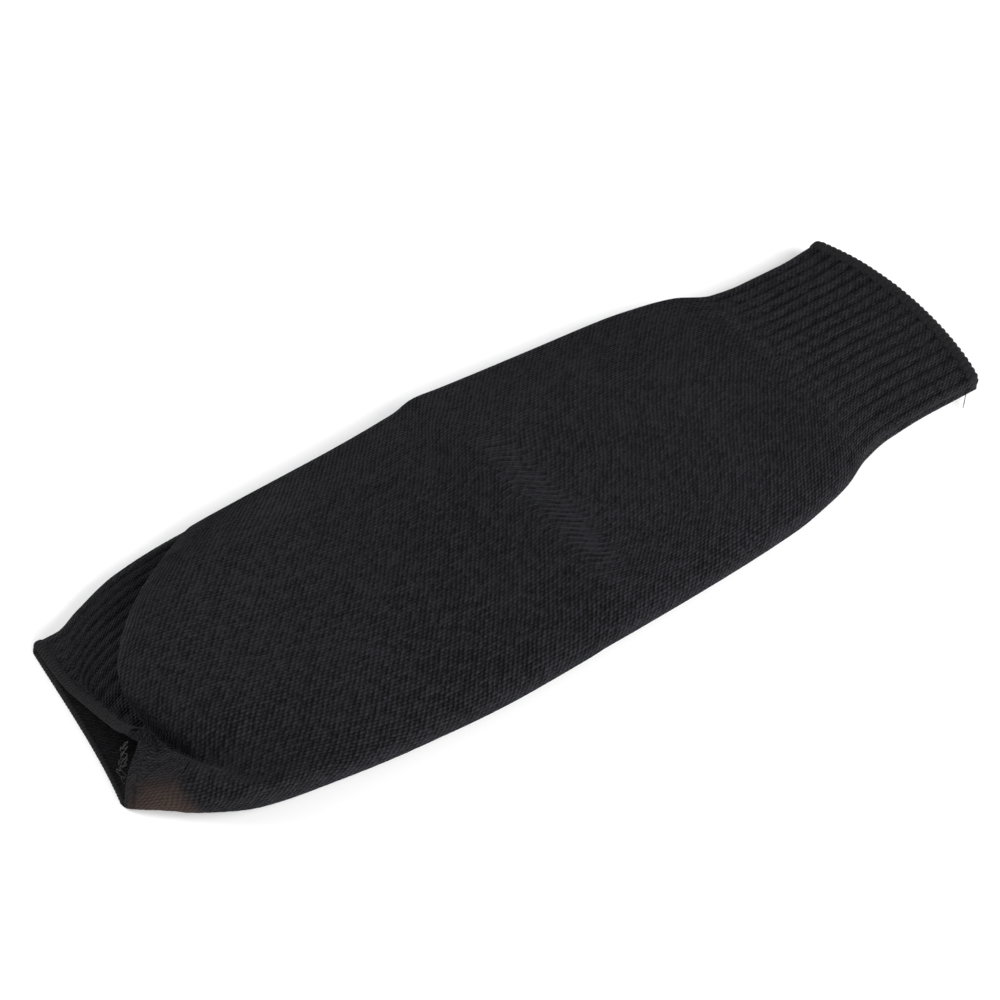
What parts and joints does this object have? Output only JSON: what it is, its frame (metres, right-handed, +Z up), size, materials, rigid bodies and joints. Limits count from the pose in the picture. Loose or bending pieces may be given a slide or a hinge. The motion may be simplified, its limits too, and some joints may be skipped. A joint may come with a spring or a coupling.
{
  "type": "cut resistant sleeve",
  "caption": "Knitted tube for the forearm and upper arm, with a ribbed cuff and a rolled edge at each end, lying flat and partly open at the wrist.",
  "frame": {"origin": "centre of the sleeve's box, on the surface that it lies on", "axes": "+X from the wrist to the upper arm, +Y to the side with the kinked edge, +Z up from the surface"},
  "size_m": [0.3622, 0.1344, 0.0192],
  "materials": {
    "plain_knit": "matt black plain knit with a faint blue sheen",
    "rib_knit": "matt black ribbed knit",
    "edge_thread": "black overcast thread"
  },
  "bodies": {
    "root": {"sleeve_body": "plain_knit", "upper_cuff": "rib_knit", "upper_edge": "edge_thread", "wrist_cuff": "rib_knit", "wrist_edge": "edge_thread"}
  },
  "joints": []
}
